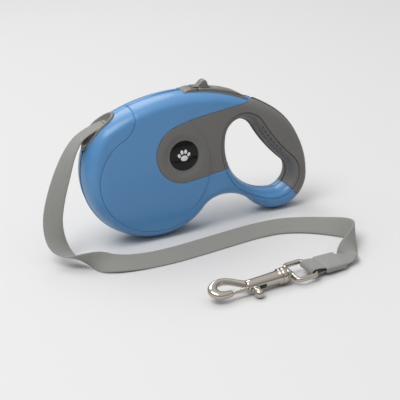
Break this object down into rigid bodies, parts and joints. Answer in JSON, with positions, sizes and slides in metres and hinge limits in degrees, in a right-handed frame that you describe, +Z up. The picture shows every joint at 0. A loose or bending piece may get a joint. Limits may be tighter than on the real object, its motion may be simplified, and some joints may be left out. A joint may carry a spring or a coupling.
{
  "type": "retractable dog leash",
  "caption": "Hand-held retractable tape leash with a spring reel, thumb brake and lock, and a swivel snap hook on the free end of its tape.",
  "frame": {"origin": "centre of the casing's footprint, on the plane that its drum and heel stand on, without the tape and the snap hook", "axes": "+Z up; +X from the drum to the hand grip, so the tape leaves towards -X; -Y is the casing's left side; the casing's parting plane is Y = 0"},
  "size_m": [0.2167, 0.1722, 0.1164],
  "materials": {
    "blue_shell": "semi-gloss moulded",
    "grey_grip": "soft-touch matt",
    "black_badge": "gloss",
    "grey_trim": "matt",
    "grey_lever": "satin",
    "steel": "plain",
    "reel_plastic": "natural",
    "tape_fabric": "woven",
    "sleeve_plastic": "soft moulded",
    "nickel": "nickel plated"
  },
  "bodies": {
    "casing": {"left_casing": "blue_shell", "right_casing": "blue_shell", "casing_screws": "steel", "left_front_cover": "blue_shell", "right_front_cover": "blue_shell", "left_grip_cover": "grey_grip", "right_grip_cover": "grey_grip", "left_badge": "black_badge", "right_badge": "black_badge", "tape_nozzle": "grey_trim", "control_tray": "grey_trim", "lever_pin": "steel", "pawl_pin": "steel", "brake_spring": "steel", "reel_axle": "steel", "spring_arbor": "steel", "thrust_washers": "steel", "inner_tape": "tape_fabric", "leash_tape": "tape_fabric", "tape_loop": "tape_fabric", "tape_sleeve": "sleeve_plastic", "swivel_eye": "nickel"},
    "reel": {"reel_hub": "reel_plastic", "reel_flange": "reel_plastic", "wound_tape": "tape_fabric", "spring_case": "reel_plastic", "power_spring": "steel"},
    "lever": {"brake_lever": "grey_lever"},
    "lock": {"lock_slider": "grey_lever"},
    "pawl": {"brake_pawl": "steel"},
    "hook": {"snap_hook": "nickel", "bolt_spring": "steel"},
    "bolt": {"snap_bolt": "nickel"}
  },
  "joints": [
    {"name": "reel_spin", "type": "hinge", "parent": "casing", "child": "reel", "pos_m": [-0.0375, 0, 0.056], "axis": [0, 1, 0], "continuous": true},
    {"name": "brake_press", "type": "hinge", "parent": "casing", "child": "lever", "pos_m": [0.03895, 0, 0.09738], "axis": [0, -1, 0], "range_deg": [0, 3], "stiffness_Nm_per_rad": 3, "deforming": ["brake_spring"]},
    {"name": "pawl_swing", "type": "hinge", "parent": "casing", "child": "pawl", "pos_m": [0.024, 0, 0.094], "axis": [0, -1, 0], "range_deg": [0, 6]},
    {"name": "lock_slide", "type": "slide", "parent": "casing", "child": "lock", "axis": [-0.9829, 0, 0.184], "range_m": [0, 0.004]},
    {"name": "hook_swivel", "type": "hinge", "parent": "casing", "child": "hook", "pos_m": [0.006, -0.1385, 0.0064], "axis": [0.9962, 0.0872, 0], "continuous": true},
    {"name": "bolt_slide", "type": "slide", "parent": "hook", "child": "bolt", "axis": [0.9962, 0.0872, 0], "range_m": [0, 0.008], "stiffness_N_per_m": 300}
  ],
  "couplings": [
    {"joint": "pawl_swing", "follows": "brake_press", "ratio": 2}
  ]
}
